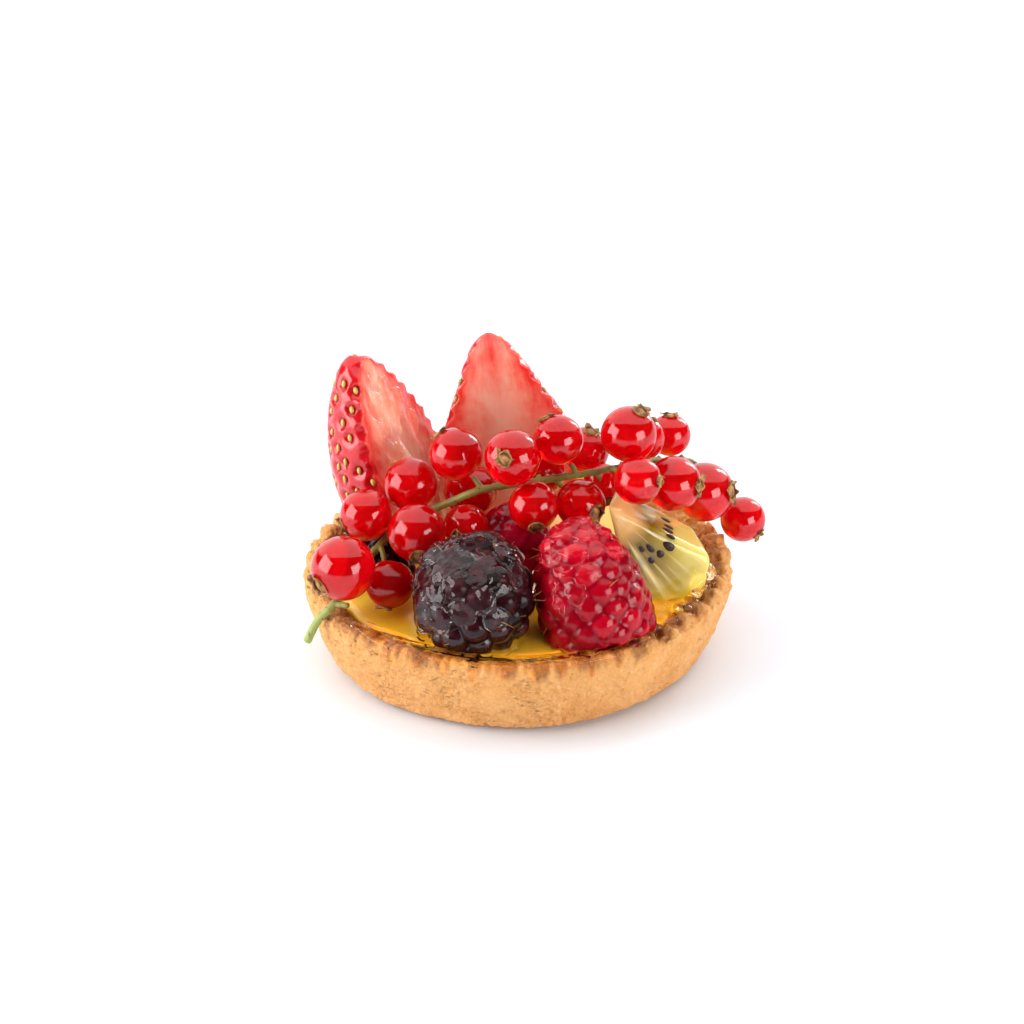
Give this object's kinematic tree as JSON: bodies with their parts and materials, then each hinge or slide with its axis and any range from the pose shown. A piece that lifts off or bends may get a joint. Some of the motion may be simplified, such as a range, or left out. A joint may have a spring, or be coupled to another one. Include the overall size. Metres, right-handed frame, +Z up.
{
  "type": "fruit tart",
  "caption": "Small round shortcrust tart filled with custard and topped with glazed berries, halved strawberries, a green fruit wedge and a sprig of currants.",
  "frame": {"origin": "middle of the shell's flat base, on the surface that the tart stands on", "axes": "+Z up, -Y towards the front with the large bramble and raspberry, +X to the right where the kiwi lies"},
  "size_m": [0.0815, 0.0747, 0.0529],
  "materials": {
    "shortcrust": "matt golden baked shortcrust, sandy and slightly pitted; ceramic stands in for baked dough",
    "custard": "smooth yellow custard under a clear fruit glaze; gloss plastic stands in for custard",
    "bramble_skin": "near-black purple drupelets, wet and glossy; gloss plastic stands in for fruit",
    "raspberry_skin": "crimson drupelets, glazed; gloss plastic stands in for fruit",
    "strawberry_flesh": "red skin and salmon streaked cut flesh, glazed; gloss plastic stands in for fruit",
    "kiwi_flesh": "yellow-green wet flesh with a pale core; gloss plastic stands in for fruit",
    "currant_skin": "clear red shiny skin; gloss plastic stands in for fruit",
    "green_stem": "thin olive green stalk; wood stands in for a fresh stem"
  },
  "bodies": {
    "root": {"crust": "shortcrust", "custard": "custard", "bramble_front": "bramble_skin", "bramble_side": "bramble_skin", "raspberry_front": "raspberry_skin", "raspberry_rear": "raspberry_skin", "kiwi_wedge": "kiwi_flesh", "strawberry_back": "strawberry_flesh", "strawberry_side": "strawberry_flesh", "currant_01": "currant_skin", "currant_02": "currant_skin", "currant_03": "currant_skin", "currant_04": "currant_skin", "currant_05": "currant_skin", "currant_06": "currant_skin", "currant_07": "currant_skin", "currant_08": "currant_skin", "currant_09": "currant_skin", "currant_10": "currant_skin", "currant_11": "currant_skin", "currant_12": "currant_skin", "currant_13": "currant_skin", "currant_14": "currant_skin", "currant_15": "currant_skin", "currant_16": "currant_skin", "currant_17": "currant_skin", "currant_18": "currant_skin", "currant_19": "currant_skin", "currant_20": "currant_skin", "currant_21": "currant_skin", "currant_22": "currant_skin", "currant_sprig": "green_stem"}
  },
  "joints": []
}
